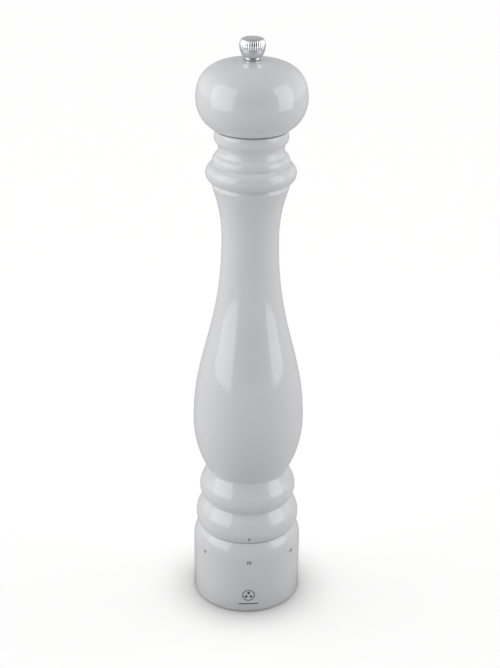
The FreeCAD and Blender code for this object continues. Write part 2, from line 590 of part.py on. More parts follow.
# ---------------------------------------------------------------- head
head_blank = turned("head_blank", [
    ("head_bore", "plate_seat_top"),
    ("plate_seat_radius", "plate_seat_top"),
    ("plate_seat_radius", "spigot_bottom"),
    ("spigot_radius", "spigot_bottom"),
    ("spigot_radius", "head_bottom"),
    ("head_foot_radius", "head_bottom"),
    ("head_radius", "head_height", "fall"),
    ("head_bush_radius", "head_top", "curve",
     [("head_radius", "head_height + dome_rise"), ("head_bush_radius + dome_reach", "head_top")]),
    ("head_bush_radius", "head_bush_bottom"),
    ("head_bore", "head_bush_bottom"),
])
plate_blank = cylinder("plate_blank", "plate_radius", "plate_thick", "0", "0",
                       "plate_seat_top - plate_thick")
plate_hole = block("plate_hole", "plate_hole", "plate_hole", "plate_thick + 2", "0", "0",
                   "plate_seat_top - plate_thick - 1")
plate_screw_holes = screw_holes("plate_screw", "plate_screw", "plate_screw_circle",
                                "plate_seat_top - plate_thick", True, SCREW_ANGLES)
node("drive_plate", cut("drive_plate", plate_blank, fused("plate_cuts", [plate_hole, plate_screw_holes])))
node("plate_screws", screw_set("plate_screws", "plate_screw", "plate_screw_circle",
                               "plate_seat_top - plate_thick", True, SCREW_ANGLES))
node("head_shell", cut("head_shell", head_blank,
                       screw_holes("head_screw", "plate_screw", "plate_screw_circle",
                                   "plate_seat_top - plate_thick", True, SCREW_ANGLES)))
node("head_bush", turned("head_bush", ring_outline("head_bush_bore", "head_bush_radius", "head_bush_bottom",
                                                   "head_top")))

# ---------------------------------------------------------------- knob
node("knob_collar", turned("knob_collar", ring_outline("collar_ring_bore", "collar_ring_radius",
                                                       "collar_ring_bottom",
                                                       "collar_ring_bottom + collar_ring_thick")))
knob_blank = turned("knob_blank", [
    ("insert_radius", "knob_bottom"),
    ("knob_foot_radius", "knob_bottom"),
    ("knob_radius", "knob_height", "fall"),
    ("knob_rim_radius", "knob_rim_height", "rise"),
    ("knob_top_radius", "knob_top", "arc", "knob_rim_arc"),
    ("0", "knob_top"),
    ("0", "insert_top"),
    ("insert_radius", "insert_top"),
])
FLUTES = 32
knob_flutes = [cylinder(f"knob_flute_{index}", "flute_radius", "flute_length", "flute_circle", "0",
                        "flute_bottom", index * 360.0 / FLUTES)
               for index in range(FLUTES)]
node("knob_shell", cut("knob_shell", knob_blank, fused("knob_flutes", knob_flutes)))
node("knob_insert", turned("knob_insert", [
    ("insert_mouth_bore", "knob_bottom"),
    ("insert_radius", "knob_bottom"),
    ("insert_radius", "insert_top"),
    ("0", "insert_top"),
    ("0", "insert_bore_top"),
    ("insert_bore", "insert_bore_top"),
    ("insert_bore", "thread_bottom"),
    ("insert_mouth_bore", "thread_bottom"),
]))

# ---------------------------------------------------------------- printed marks
LEG_LEAN = 18.0


def film(name, low, high):
    return turned(name, ring_outline("ring_radius", "ring_radius + film", low, high))


def stroke(name, across, up, lean, long):
    """A bar seen from outside on the front of the ring, centred on a point and leaning in its plane."""
    item = bind(doc.addObject("Part::Box", name), Length="stroke", Width="stamp_depth", Height=long)
    offset = FreeCAD.Vector(-size("stroke") / 2, 0, -size(long) / 2)
    swing = FreeCAD.Rotation(vector(0, 1, 0), lean)
    corner = vector(across, -size("ring_radius + stamp_depth / 2"), up) + swing.multVec(offset)
    item.Placement = FreeCAD.Placement(corner, swing)
    return item


def numeral(index, text):
    """Strokes of one Roman numeral, side by side, then turned to its place on the ring."""
    pitch, middle = size("stroke_pitch"), size("numeral_height")
    widths = {"I": pitch, "V": 2.1 * pitch}
    across = -sum(widths[letter] for letter in text) / 2
    strokes = []
    for spot, letter in enumerate(text):
        centre = across + widths[letter] / 2
        name = f"numeral_{index}_{spot}"
        if letter == "I":
            strokes.append(stroke(name, centre, middle, 0, "numeral_tall"))
        else:
            for side in (-1, 1):
                strokes.append(stroke(f"{name}_{'left' if side < 0 else 'right'}",
                                      centre + side * size("leg_spread"), middle, side * LEG_LEAN,
                                      f"numeral_tall / {math.cos(math.radians(LEG_LEAN)):.6f}"))
        across += widths[letter]
    join = fused if len(strokes) > 1 else group
    lettering = join(f"numeral_{index}", strokes)
    spin = FreeCAD.Rotation(vector(0, 0, 1), (index - FRONT_SETTING) * SETTING_STEP)
    lettering.Placement = FreeCAD.Placement(vector(), spin)
    return lettering


numerals = [common(f"mark_{index}",
                   film(f"mark_film_{index}", "numeral_height - numeral_tall",
                        "numeral_height + numeral_tall"),
                   numeral(index, text))
            for index, text in enumerate(SETTINGS)]
node("grind_marks", group("grind_marks", numerals))

facing = FreeCAD.Rotation(vector(1, 0, 0), 90)
emblem_outer = cylinder("emblem_outer", "emblem_ring_radius", "stamp_depth", "0",
                        "-ring_radius + stamp_depth / 2", "emblem_height", 0.0, facing)
emblem_inner = cylinder("emblem_inner", "emblem_ring_radius - emblem_ring_line", "stamp_depth + 2", "0",
                        "-ring_radius + stamp_depth / 2 + 1", "emblem_height", 0.0, facing)
emblem_shapes = [cut("emblem_ring", emblem_outer, emblem_inner)]
for index in range(3):
    angle = math.radians(FRONT + 120.0 * index + 180.0)
    emblem_shapes.append(cylinder(f"emblem_dot_{index}", "emblem_dot", "stamp_depth",
                                  f"emblem_dot_circle * {math.cos(angle):.6f}",
                                  "-ring_radius + stamp_depth / 2",
                                  f"emblem_height + emblem_dot_circle * {math.sin(angle):.6f}", 0.0, facing))
emblem_shapes.append(block("emblem_bar", "emblem_bar_width", "stamp_depth", "emblem_bar_tall", "0",
                           "-ring_radius", "emblem_height - emblem_bar_drop"))
emblem_film = film("emblem_film", "emblem_height - emblem_bar_drop - 1",
                   "emblem_height + emblem_ring_radius + 1")
node("emblem", common("emblem", emblem_film, fused("emblem_shapes", emblem_shapes)))

# radius of the arc that swells from the column's foot to the widest point of the lower bead
BEAD_ARC = ("((low_bead_height - column_bottom) ^ 2 + (low_bead_radius - column_foot_radius) ^ 2)"
            " / (2 * (low_bead_radius - column_foot_radius))")


def on_low_bead(height):
    """Radius of the lower bead's surface at a height below its widest point."""
    return (f"(low_bead_radius - {BEAD_ARC}"
            f" + sqrt(({BEAD_ARC}) ^ 2 - (low_bead_height - {height}) ^ 2))")


pointer = turned("pointer_mark", [
    (on_low_bead("pointer_low"), "pointer_low", "arc", f"-({BEAD_ARC})"),
    (on_low_bead("pointer_low") + " + film", "pointer_low"),
    (on_low_bead("pointer_high") + " + film", "pointer_high", "arc", f"{BEAD_ARC} + film"),
    (on_low_bead("pointer_high"), "pointer_high"),
], DIMENSIONS["pointer_angle"])
pointer.Placement = FreeCAD.Placement(vector(), FreeCAD.Rotation(vector(0, 0, 1), FRONT))
node("pointer_mark", pointer)

# ---------------------------------------------------------------- check and write
doc.recompute()
faults = [item.Name for item in doc.Objects if "Invalid" in item.State or "Error" in item.State]
for name, item in nodes.items():
    if item.Shape.isNull() or not item.Shape.isValid() or not item.Shape.Solids:
        faults.append(name)
if faults:
    raise RuntimeError("these objects failed: " + ", ".join(faults))
os.makedirs("parts", exist_ok=True)
for name, item in nodes.items():
    item.Shape.exportStep("parts/%s.step" % name)
    box = item.Shape.BoundBox
    print("%-18s %2d solids %9.1f mm3  z %.2f to %.2f" % (name, len(item.Shape.Solids), item.Shape.Volume,
                                                         box.ZMin, box.ZMax))
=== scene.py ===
import json
import math

import bmesh
import bpy
from mathutils import Matrix, Vector


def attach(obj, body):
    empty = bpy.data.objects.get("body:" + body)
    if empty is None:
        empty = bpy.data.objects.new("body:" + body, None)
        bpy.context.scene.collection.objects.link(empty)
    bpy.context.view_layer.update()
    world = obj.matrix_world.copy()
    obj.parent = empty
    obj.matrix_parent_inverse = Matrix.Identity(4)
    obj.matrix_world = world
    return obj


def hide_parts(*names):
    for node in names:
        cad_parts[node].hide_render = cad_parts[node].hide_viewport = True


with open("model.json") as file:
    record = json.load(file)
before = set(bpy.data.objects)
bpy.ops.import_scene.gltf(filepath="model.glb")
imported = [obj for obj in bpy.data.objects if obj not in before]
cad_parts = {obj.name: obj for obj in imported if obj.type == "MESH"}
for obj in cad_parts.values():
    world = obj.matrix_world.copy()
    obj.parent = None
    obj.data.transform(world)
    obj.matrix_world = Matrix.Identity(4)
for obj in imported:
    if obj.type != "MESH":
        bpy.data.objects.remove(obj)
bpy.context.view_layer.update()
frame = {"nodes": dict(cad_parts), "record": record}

# A tall turned pepper mill in white gloss lacquer. The frame is in metres. The outlines below are in
# millimetres, like the CAD source, and MM turns them into metres.
MM = 0.001
NODES = frame["nodes"]


# ------------------------------------------------------------------ materials
def new_material(name):
    """A node material and its Principled shader."""
    material = bpy.data.materials.new(name)
    material.use_nodes = True
    shader = material.node_tree.nodes["Principled BSDF"]
    return material, material.node_tree, shader


def noise(tree, scale, detail=4.0, rough=0.55, stretch=(1, 1, 1)):
    """A noise texture in the part's own space. Scale counts features in each metre."""
    place = tree.nodes.new("ShaderNodeTexCoord")
    mapping = tree.nodes.new("ShaderNodeMapping")
    mapping.inputs["Scale"].default_value = stretch
    texture = tree.nodes.new("ShaderNodeTexNoise")
    texture.inputs["Scale"].default_value = scale
    texture.inputs["Detail"].default_value = detail
    texture.inputs["Roughness"].default_value = rough
    tree.links.new(place.outputs["Object"], mapping.inputs["Vector"])
    tree.links.new(mapping.outputs["Vector"], texture.inputs["Vector"])
    return texture.outputs["Fac"]


def ramp(tree, value, stops):
    """A colour ramp over a 0 to 1 value. Stops are (position, colour)."""
    node = tree.nodes.new("ShaderNodeValToRGB")
    node.color_ramp.elements[0].position = stops[0][0]
    node.color_ramp.elements[0].color = (*stops[0][1], 1)
    node.color_ramp.elements[1].position = stops[-1][0]
    node.color_ramp.elements[1].color = (*stops[-1][1], 1)
    for position, colour in stops[1:-1]:
        node.color_ramp.elements.new(position).color = (*colour, 1)
    tree.links.new(value, node.inputs["Fac"])
    return node.outputs["Color"]


def spread(tree, value, lowest, highest):
    """Maps a 0 to 1 texture onto a range of roughness."""
    node = tree.nodes.new("ShaderNodeMapRange")
    node.inputs["From Min"].default_value = 0.3
    node.inputs["From Max"].default_value = 0.7
    node.inputs["To Min"].default_value = lowest
    node.inputs["To Max"].default_value = highest
    tree.links.new(value, node.inputs["Value"])
    return node.outputs["Result"]


def bump(tree, shader, layers):
    """Stacks bump layers, each (height value, distance in metres), onto the shader's normal."""
    normal = None
    for height, distance in layers:
        node = tree.nodes.new("ShaderNodeBump")
        node.inputs["Distance"].default_value = distance
        tree.links.new(height, node.inputs["Height"])
        if normal is not None:
            tree.links.new(normal, node.inputs["Normal"])
        normal = node.outputs["Normal"]
    tree.links.new(normal, shader.inputs["Normal"])
    if "Coat Normal" in shader.inputs:
        tree.links.new(normal, shader.inputs["Coat Normal"])


def simple(name, colours, rough, bumps, metallic=0.0, grain=900.0, stretch=(1, 1, 1), coat=0.0):
    """A material with a mottled colour, a varied roughness and fine bump."""
    material, tree, shader = new_material(name)
    mottle = noise(tree, grain, stretch=stretch)
    tree.links.new(ramp(tree, mottle, [(0.3, colours[0]), (0.7, colours[1])]), shader.inputs["Base Color"])
    broad = noise(tree, grain * 0.11, detail=6.0)
    tree.links.new(spread(tree, broad, *rough), shader.inputs["Roughness"])
    shader.inputs["Metallic"].default_value = metallic
    shader.inputs["Coat Weight"].default_value = coat
    bump(tree, shader, [(noise(tree, scale, stretch=stretch), distance) for scale, distance in bumps])
    return material


def lacquer():
    """White gloss lacquer over turned wood: a faint orange peel and the lathe's rings."""
    material, tree, shader = new_material("white_lacquer")
    mottle = noise(tree, 45.0, detail=3.0)
    tone = ramp(tree, mottle, [(0.25, (0.784, 0.788, 0.793)), (0.75, (0.796, 0.798, 0.801))])
    tree.links.new(tone, shader.inputs["Base Color"])
    tree.links.new(spread(tree, noise(tree, 140.0, detail=8.0), 0.3, 0.4), shader.inputs["Roughness"])
    shader.inputs["IOR"].default_value = 1.45
    shader.inputs["Specular IOR Level"].default_value = 0.12
    shader.inputs["Coat Weight"].default_value = 1.0
    tree.links.new(spread(tree, noise(tree, 90.0, detail=5.0), 0.045, 0.075), shader.inputs["Coat Roughness"])
    shader.inputs["Coat IOR"].default_value = 1.62
    rings = noise(tree, 1.0, detail=2.0, stretch=(14, 14, 420))
    bump(tree, shader, [(noise(tree, 420.0, detail=1.0), 0.0000022), (rings, 0.000002)])
    return material


def bare_beech():
    """Unlacquered beech inside the bores and on the head's spigot, with flecks along the grain."""
    material, tree, shader = new_material("bare_beech")
    grain = noise(tree, 60.0, detail=8.0, rough=0.7, stretch=(8, 8, 0.7))
    flecks = noise(tree, 400.0, detail=3.0, stretch=(1, 1, 0.12))
    mixed = tree.nodes.new("ShaderNodeMix")
    mixed.inputs["Factor"].default_value = 0.35
    tree.links.new(grain, mixed.inputs["A"])
    tree.links.new(flecks, mixed.inputs["B"])
    tone = ramp(tree, mixed.outputs["Result"],
                [(0.32, (0.30, 0.165, 0.085)), (0.5, (0.50, 0.315, 0.175)), (0.68, (0.60, 0.41, 0.25))])
    tree.links.new(tone, shader.inputs["Base Color"])
    tree.links.new(spread(tree, grain, 0.5, 0.75), shader.inputs["Roughness"])
    bump(tree, shader, [(grain, 0.0001), (flecks, 0.00005)])
    return material


def chrome():
    """Polished plating with faint hairlines and smudges."""
    material, tree, shader = new_material("chrome")
    smudge = noise(tree, 260.0, detail=6.0)
    tree.links.new(ramp(tree, smudge, [(0.3, (0.70, 0.705, 0.72)), (0.7, (0.75, 0.755, 0.765))]),
                   shader.inputs["Base Color"])
    tree.links.new(spread(tree, smudge, 0.05, 0.13), shader.inputs["Roughness"])
    shader.inputs["Metallic"].default_value = 1.0
    bump(tree, shader, [(noise(tree, 3000.0, detail=1.0, stretch=(1, 1, 0.05)), 0.0000015)])
    return material


MATERIALS = {
    "white_lacquer": lacquer(),
    "chrome": chrome(),
    "black_plastic": simple("black_plastic", ((0.024, 0.024, 0.026), (0.042, 0.042, 0.045)), (0.36, 0.55),
                            [(5200.0, 0.000012), (700.0, 0.00002)]),
    "grey_plastic": simple("grey_plastic", ((0.075, 0.077, 0.082), (0.105, 0.107, 0.112)), (0.34, 0.5),
                           [(4200.0, 0.00001), (600.0, 0.00002)]),
    "burr_steel": simple("burr_steel", ((0.20, 0.20, 0.205), (0.32, 0.315, 0.31)), (0.26, 0.46),
                         [(2200.0, 0.00001), (420.0, 0.00002)], metallic=1.0),
    "stainless": simple("stainless", ((0.50, 0.50, 0.51), (0.62, 0.62, 0.625)), (0.2, 0.36),
                        [(1500.0, 0.000008)], metallic=1.0, stretch=(1, 1, 0.08)),
    "spring_steel": simple("spring_steel", ((0.36, 0.36, 0.38), (0.52, 0.52, 0.53)), (0.22, 0.38),
                           [(2600.0, 0.000006)], metallic=1.0),
    "bronze": simple("bronze", ((0.36, 0.215, 0.10), (0.52, 0.34, 0.17)), (0.4, 0.62),
                     [(6000.0, 0.00002), (900.0, 0.00001)], metallic=1.0),
    "brass": simple("brass", ((0.62, 0.44, 0.19), (0.74, 0.56, 0.28)), (0.2, 0.36),
                    [(2400.0, 0.000006)], metallic=1.0, stretch=(1, 1, 4)),
    "dark_rubber": simple("dark_rubber", ((0.012, 0.012, 0.012), (0.024, 0.024, 0.024)), (0.6, 0.8),
                          [(4000.0, 0.00002)]),
    "zinc_screw": simple("zinc_screw", ((0.48, 0.49, 0.50), (0.62, 0.62, 0.60)), (0.24, 0.42),
                         [(3600.0, 0.00001)], metallic=1.0),
    "grey_ink": simple("grey_ink", ((0.055, 0.056, 0.060), (0.080, 0.081, 0.086)), (0.3, 0.42),
                       [(3000.0, 0.000006)], coat=0.4),
    "bare_beech": bare_beech(),
}


# ------------------------------------------------------------------ mesh helpers
def make_piece(name, mesh, body, slot, nodes=(), extra=()):
    """An object that rides on a body, takes a slot's finish and stands for the CAD nodes it replaces."""
    piece = bpy.data.objects.new(name, mesh)
    bpy.context.scene.collection.objects.link(piece)
    for key in (slot, *extra):
        mesh.materials.append(MATERIALS[key])
    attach(piece, body)
    if nodes:
        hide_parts(*nodes)
    return piece


def finish_mesh(name, built, crease=35.0):
    """Turns a bmesh into a smooth-shaded mesh that keeps its crisp edges."""
    bmesh.ops.recalc_face_normals(built, faces=built.faces)
    for face in built.faces:
        face.smooth = True
    for edge in built.edges:
        if len(edge.link_faces) == 2 and edge.calc_face_angle(0.0) > math.radians(crease):
            edge.smooth = False
    mesh = bpy.data.meshes.new(name)
    built.to_mesh(mesh)
    built.free()
    return mesh


ARC_STEP = math.radians(5.0)
LONGEST_FACET = 2.0
CURVE_STEPS = 48
EASE_SHARES = (0, 0.2, 0.4, 0.6, 0.8, 1)


def arc_points(start, end, centre):
    """Points after the start of the short arc between two points."""
    first = math.atan2(start[1] - centre[1], start[0] - centre[0])
    last = math.atan2(end[1] - centre[1], end[0] - centre[0])
    sweep = (last - first + math.pi) % (2 * math.pi) - math.pi
    radius = math.dist(start, centre)
    count = max(3, math.ceil(abs(sweep) / ARC_STEP), math.ceil(abs(sweep) * radius / LONGEST_FACET))
    return [(centre[0] + radius * math.cos(first + sweep * i / count),
             centre[1] + radius * math.sin(first + sweep * i / count)) for i in range(1, count + 1)]


def level_centre(upright, other):
    """Centre of the arc that is upright at one point and passes the other."""
    across = other[0] - upright[0]
    radius = (across ** 2 + (other[1] - upright[1]) ** 2) / (2 * abs(across))
    return upright[0] + math.copysign(radius, across), upright[1]


def curve_points(poles):
    """Points after the start of a cubic curve."""
    points = []
    for step in range(1, CURVE_STEPS + 1):
        t = step / CURVE_STEPS
        weights = ((1 - t) ** 3, 3 * (1 - t) ** 2 * t, 3 * (1 - t) * t * t, t ** 3)
        spot = sum((Vector(pole) * weight for pole, weight in zip(poles, weights)), Vector((0, 0)))
        points.append((spot.x, spot.y))
    return points


def outline(corners):
    """Points of a closed outline. Each corner is (radius, height, kind, more) and kind says how it is
    reached: line, rise (an arc upright at its start), fall (an arc upright at its end) or curve (two
    control points). A corner whose last item is ("round", size) is eased by that much."""
    points, eased = [], {}
    for index, corner in enumerate(corners):
        start, end = corners[index - 1][:2], corner[:2]
        kind = corner[2] if len(corner) > 2 and isinstance(corner[2], str) else "line"
        if kind == "rise":
            points += arc_points(start, end, level_centre(start, end))
        elif kind == "fall":
            points += arc_points(start, end, level_centre(end, start))
        elif kind == "curve":
            points += curve_points([start, *corner[3], end])
        else:
            points.append(tuple(end))
        if isinstance(corner[-1], tuple) and corner[-1][0] == "round":
            eased[len(points) - 1] = corner[-1][1]
    return ease(points, eased)


def walk(points, index, step, distance):
    """The point a distance along a closed outline from a corner, and how many points it passes."""
    here, passed = Vector(points[index]), 0
    while True:
        there = Vector(points[(index + step * (passed + 1)) % len(points)])
        gap = (there - here).length
        if gap >= distance:
            return here + (there - here) * (distance / gap), passed
        distance -= gap
        here, passed = there, passed + 1


def ease(points, eased):
    """Replaces each listed corner by a small rounded one."""
    swaps, skip = {}, set()
    for index, radius in eased.items():
        before, lost_before = walk(points, index, -1, radius)
        after, lost_after = walk(points, index, 1, radius)
        skip |= {(index - i) % len(points) for i in range(1, lost_before + 1)}
        skip |= {(index + i) % len(points) for i in range(1, lost_after + 1)}
        corner = Vector(points[index])
        swaps[index] = [tuple((1 - t) ** 2 * before + 2 * (1 - t) * t * corner + t * t * after)
                        for t in EASE_SHARES]
    result = []
    for index, point in enumerate(points):
        if index in swaps:
            result += swaps[index]
        elif index not in skip:
            result.append(point)
    return result


def lathe(name, points, segments=192, radius_at=None, second=None):
    """Turns a closed outline (in millimetres) about Z. Points on the axis become one vertex.
    second tells which outline points belong to the second material."""
    built = bmesh.new()
    rings = []
    for radius, height in points:
        if radius == 0.0:
            rings.append([built.verts.new((0, 0, height * MM))] * segments)
            continue
        ring = []
        for spot in range(segments):
            angle = 2 * math.pi * spot / segments
            reach = (radius_at(radius, height, angle) if radius_at else radius) * MM
            ring.append(built.verts.new((reach * math.cos(angle), reach * math.sin(angle), height * MM)))
        rings.append(ring)
    for index in range(len(points)):
        ring, after = rings[index], rings[(index + 1) % len(points)]
        if ring[0] is ring[1] and after[0] is after[1]:
            continue
        kind = 1 if second and second(points[index], points[(index + 1) % len(points)]) else 0
        for spot in range(segments):
            beside = (spot + 1) % segments
            corners = []
            for vert in (ring[spot], ring[beside], after[beside], after[spot]):
                if vert not in corners:
                    corners.append(vert)
            built.faces.new(corners).material_index = kind
    return finish_mesh(name, built)


# ------------------------------------------------------------------ lacquered pieces
COLUMN = [
    (29.4, 55.5), (34.0, 55.5, ("round", 0.5)),
    (36.25, 62.3, "fall"), (33.3, 72.0, "rise"), (30.4, 76.8, ("round", 0.7)),
    (33.65, 84.8, "fall"), (31.6, 92.0, "rise"), (28.2, 100.2, ("round", 0.9)),
    (37.9, 138.0, "fall"),
    (18.8, 270.0, "curve", [(37.9, 187.0), (18.8, 205.0)]),
    (25.2, 305.8, "rise", ("round", 0.7)), (24.3, 308.2, ("round", 0.5)),
    (29.3, 314.6, "fall"), (24.3, 320.9, "rise", ("round", 0.5)),
    (24.9, 322.7, "fall"), (22.2, 327.0, "rise", ("round", 0.5)),
    (21.2, 331.0, "fall"), (22.6, 334.6, "rise", ("round", 0.4)),
    (23.8, 337.0, "fall"), (23.8, 340.6), (23.2, 342.3, "rise", ("round", 0.4)),
    (15.05, 342.3, ("round", 0.4)), (15.05, 331.0), (13.0, 331.0), (13.0, 92.0),
    (22.0, 92.0), (22.0, 58.4), (29.4, 58.4),
]
SELECTOR = [
    (34.4, 0.0, ("round", 0.3)), (36.6, 0.0), (38.0, 2.0, "fall"),
    (38.0, 42.5), (33.9, 55.0, "rise", ("round", 0.5)),
    (29.2, 55.0), (29.2, 48.0), (30.4, 48.0), (30.4, 3.0), (34.4, 3.0),
]
HEAD = [
    (5.0, 336.0), (10.1, 336.0), (10.1, 333.0), (12.7, 333.0, ("round", 0.5)), (12.7, 342.9),
    (23.3, 342.9, ("round", 0.5)), (35.35, 362.5, "fall"),
    (5.4, 386.4, "curve", [(35.35, 382.7), (19.6, 386.4)]), (5.4, 381.4), (5.0, 381.4),
]


def column_inside(start, end):
    """Bare wood is everything inside the mouth, the bore and the socket."""
    widest, lowest, highest = max(start[0], end[0]), min(start[1], end[1]), max(start[1], end[1])
    bore = widest < 15.2 and lowest > 57.0
    socket = widest < 29.5 and highest < 93.0 and lowest > 55.6
    return bore or socket


def selector_inside(start, end):
    """Bare wood is the ring's bore, up to its top face."""
    return max(start[0], end[0]) < 30.5 and max(start[1], end[1]) < 54.9


def head_inside(start, end):
    """Bare wood is the spigot and the shaft's hole, up to the bush at the top."""
    return max(start[0], end[0]) < 12.8 and max(start[1], end[1]) < 382.0


def lacquered(name, corners, body, node, inside):
    """A turned and lacquered piece, with bare wood where the outline runs inside."""
    mesh = lathe(name, outline(corners), 256, second=inside)
    return make_piece(name, mesh, body, "white_lacquer", [node], ["bare_beech"])


lacquered("turned_column", COLUMN, "column_body", "column", column_inside)
lacquered("turned_selector", SELECTOR, "selector", "selector_ring", selector_inside)
lacquered("turned_head", HEAD, "head", "head_shell", head_inside)

# ------------------------------------------------------------------ the chrome knob
FLUTE_COUNT = 32
FLUTE_DEPTH = 0.2
FLUTE_LOW, FLUTE_HIGH = 393.5, 399.3
FLUTE_RUN_IN, FLUTE_RUN_OUT = 0.3, 0.5
FLUTED_FROM = 6.3
KNOB = [
    (4.0, 388.4), (6.1, 388.4, ("round", 0.3)), (8.15, 395.6, "fall"), (7.1, 399.1, "rise", ("round", 0.3)),
    (5.9, 399.86, ("round", 0.4)), (4.4, 399.95), (2.2, 399.99), (0.0, 400.0), (0.0, 397.4), (4.0, 397.4),
]


def knob_radius(radius, height, angle):
    """The knob's radius with its band of upright flutes cut in."""
    if radius < FLUTED_FROM or not FLUTE_LOW < height < FLUTE_HIGH:
        return radius
    edge = min((height - FLUTE_LOW) / FLUTE_RUN_IN, (FLUTE_HIGH - height) / FLUTE_RUN_OUT, 1.0)
    valley = abs(math.sin(angle * FLUTE_COUNT / 2)) ** 0.75
    return radius - FLUTE_DEPTH * edge * (1 - valley)


def knob_points():
    """The outline with extra rings where the flutes start and stop."""
    levels = (FLUTE_LOW, FLUTE_LOW + FLUTE_RUN_IN / 2, FLUTE_LOW + FLUTE_RUN_IN,
              FLUTE_HIGH - FLUTE_RUN_OUT, FLUTE_HIGH - FLUTE_RUN_OUT / 2, FLUTE_HIGH)
    points = outline(KNOB)
    result = []
    for index, point in enumerate(points):
        result.append(point)
        after = points[(index + 1) % len(points)]
        if point[0] > FLUTED_FROM:
            for level in levels:
                if point[1] < level < after[1]:
                    share = (level - point[1]) / (after[1] - point[1])
                    result.append((point[0] + (after[0] - point[0]) * share, level))
    return result


knob_mesh = lathe("fluted_knob", knob_points(), FLUTE_COUNT * 12, knob_radius)
make_piece("fluted_knob", knob_mesh, "knob", "chrome", ["knob_shell"])

# ------------------------------------------------------------------ screws, threads and machined pieces
SCREW_ANGLES = (30.0, 150.0, 270.0)
SCREW_SEGMENTS = 32
# Each row is node: (body, slot, circle, start, way, head, sink, shank, length). Circle is the radius of the
# circle that the screws stand on, start is the height of their heads and way is 1 for a screw that points up.
# Head and shank are radii, and sink is the depth of the countersink.
SCREWS = {
    "housing_screws": ("column_body", "zinc_screw", 25.6, 55.5, 1, 2.9, 1.7, 1.5, 14.0),
    "bridge_screws": ("column_body", "zinc_screw", 18.1, 62.4, -1, 1.2, 0.7, 0.7, 7.0),
    "nut_screws": ("selector", "zinc_screw", 32.2, 0.8, 1, 1.9, 1.1, 1.0, 9.0),
    "plate_screws": ("head", "zinc_screw", 7.2, 333.6, 1, 1.9, 1.1, 1.0, 10.0),
}


def thread_depth(height, angle, pitch):
    """0 on a thread's crest and 1 in its root, for a right-hand thread."""
    phase = (height / pitch - angle / (2 * math.pi)) % 1.0
    return 1.0 - abs(2 * phase - 1)


def add_rings(built, rings):
    """Skins a stack of rings of points and closes both ends."""
    rows = [[built.verts.new(point) for point in ring] for ring in rings]
    count = len(rings[0])
    for row, after in zip(rows, rows[1:]):
        for spot in range(count):
            beside = (spot + 1) % count
            built.faces.new((row[spot], row[beside], after[beside], after[spot]))
    built.faces.new(rows[-1])
    built.faces.new(rows[0])


def add_screw(built, place, way, head, sink, shank, length):
    """A countersunk wood screw with a cross recess, built head first along its own length."""
    def ring(radius_of, depth):
        """A ring of points at a depth under the head's face."""
        spots = []
        for index in range(SCREW_SEGMENTS):
            angle = 2 * math.pi * index / SCREW_SEGMENTS
            radius = radius_of(angle)
            spots.append((place[0] + radius * math.cos(angle), place[1] + radius * math.sin(angle) * way,
                          place[2] + depth * way))
        return [tuple(value * MM for value in spot) for spot in spots]

    def cross(arm, wide):
        """The outline of a cross as a radius for each angle."""
        return lambda angle: min(arm, wide / max(1e-6, min(abs(math.cos(angle)), abs(math.sin(angle)))))

    rings = [
        ring(cross(head * 0.22, head * 0.06), sink * 0.8),
        ring(cross(head * 0.58, head * 0.13), sink * 0.1),
        ring(cross(head * 0.62, head * 0.16), 0.0),
        ring(lambda angle: head * 0.9, 0.0),
        ring(lambda angle: head, head * 0.05),
        ring(lambda angle: shank, sink),
    ]
    plain = sink + (length - sink) * 0.25
    rings.append(ring(lambda angle: shank, plain))
    pitch, taper = shank * 0.85, shank * 2.2
    levels = math.ceil((length - plain) / (pitch / 6))
    for level in range(1, levels + 1):
        depth = plain + (length - plain) * level / levels
        slim = min(1.0, max(0.04, (length - depth) / taper))
        core = shank * slim
        rings.append(ring(lambda angle: core * (1 - 0.28 * thread_depth(depth, -angle, pitch)), depth))
    add_rings(built, rings)


for node, (body, slot, circle, start, way, head, sink, shank, length) in SCREWS.items():
    built = bmesh.new()
    for angle in SCREW_ANGLES:
        spot = (circle * math.cos(math.radians(angle)), circle * math.sin(math.radians(angle)), start)
        add_screw(built, spot, way, head, sink, shank, length)
    make_piece("cross_" + node, finish_mesh("cross_" + node, built, 50.0), body, slot, [node])

SHAFT_SHOULDER, SHAFT_TOP = 386.0, 394.8
THREAD_CREST, THREAD_CUT, THREAD_PITCH = 2.42, 0.32, 0.8
THREAD_LOW, THREAD_HIGH, THREAD_LEVELS = 386.7, 394.3, 80
SQUARE_CORNER, GROOVE_CORNER = 4.02, 3.6
CLIP_GROOVES = ((58.55, 59.45), (66.45, 67.35))


def shaft_radius(radius, height, angle):
    """Square below the shoulder, with eased corners and round grooves for the clips; threaded above it."""
    if height > SHAFT_SHOULDER:
        threaded = radius > THREAD_CREST - 0.01
        return radius - THREAD_CUT * thread_depth(height, angle, THREAD_PITCH) * threaded
    grooved = any(bottom <= height <= top for bottom, top in CLIP_GROOVES)
    corner = GROOVE_CORNER if grooved else SQUARE_CORNER
    return min(radius / max(abs(math.cos(angle)), abs(math.sin(angle))), corner * radius / 3.0)


def shaft_points():
    """The shaft's outline: half the square's width, then the shoulder and the threaded end."""
    points = [(0.0, 12.0), (2.6, 12.0), (3.0, 12.5)]
    for bottom, top in CLIP_GROOVES:
        points += [(3.0, bottom - 0.02), (3.0, bottom), (3.0, top), (3.0, top + 0.02)]
    points += [(3.0, 385.6), (2.7, 386.0), (2.3, 386.01), (2.1, 386.5)]
    points += [(THREAD_CREST, THREAD_LOW + (THREAD_HIGH - THREAD_LOW) * level / THREAD_LEVELS)
               for level in range(THREAD_LEVELS + 1)]
    return points + [(2.0, SHAFT_TOP), (0.0, SHAFT_TOP)]


make_piece("threaded_shaft", lathe("threaded_shaft", shaft_points(), 64, shaft_radius), "shaft", "stainless",
           ["drive_shaft"])

